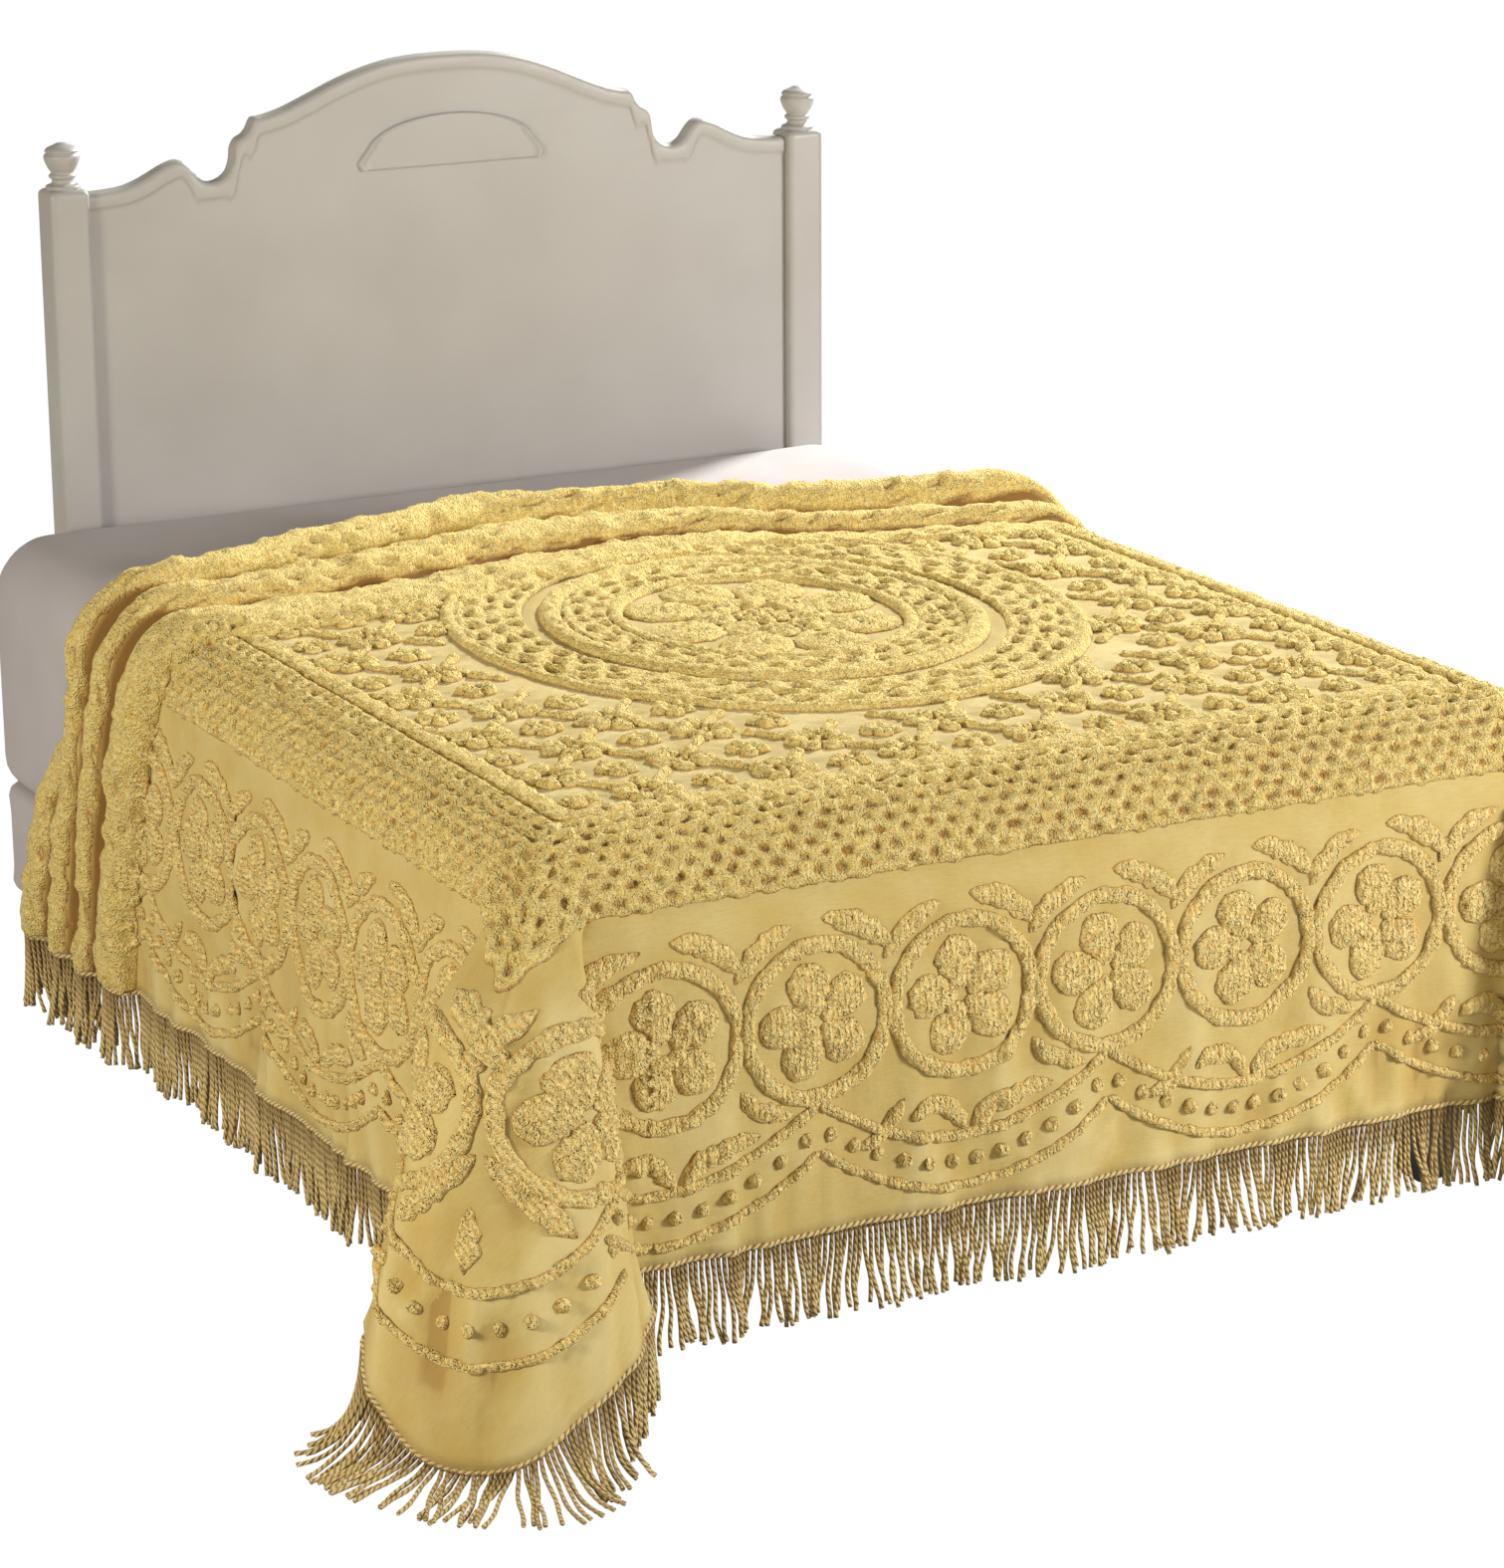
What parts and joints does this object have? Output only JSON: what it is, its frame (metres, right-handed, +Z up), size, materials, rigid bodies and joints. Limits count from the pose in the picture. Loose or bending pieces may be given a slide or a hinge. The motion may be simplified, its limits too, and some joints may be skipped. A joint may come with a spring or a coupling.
{
  "type": "chenille bedspread on a bed",
  "caption": "Tufted chenille bedspread with a twisted fringe, fallen over a plain bed with a scalloped painted headboard, its head end bunched in soft folds and a full tongue at the foot corners",
  "frame": {"origin": "middle of the footprint, on the floor", "axes": "+Z up, the bed lies along Y with its foot toward -Y and the headboard toward +Y, +X is to the right seen from the foot"},
  "size_m": [1.9314, 2.1503, 1.257],
  "materials": {
    "chenille": "yellow tufted cotton chenille, raised pile on a fine plain ground",
    "fringe_yarn": "yellow twisted cotton yarn",
    "linen": "plain off-white cotton cover",
    "paint": "white painted wood, satin"
  },
  "bodies": {
    "root": {"spread": "chenille", "fringe": "fringe_yarn", "mattress": "linen", "base": "linen", "headboard": "paint", "post_left": "paint", "post_right": "paint", "leg_left_a": "paint", "leg_left_b": "paint", "leg_left_c": "paint", "leg_right_a": "paint", "leg_right_b": "paint", "leg_right_c": "paint"}
  },
  "joints": []
}
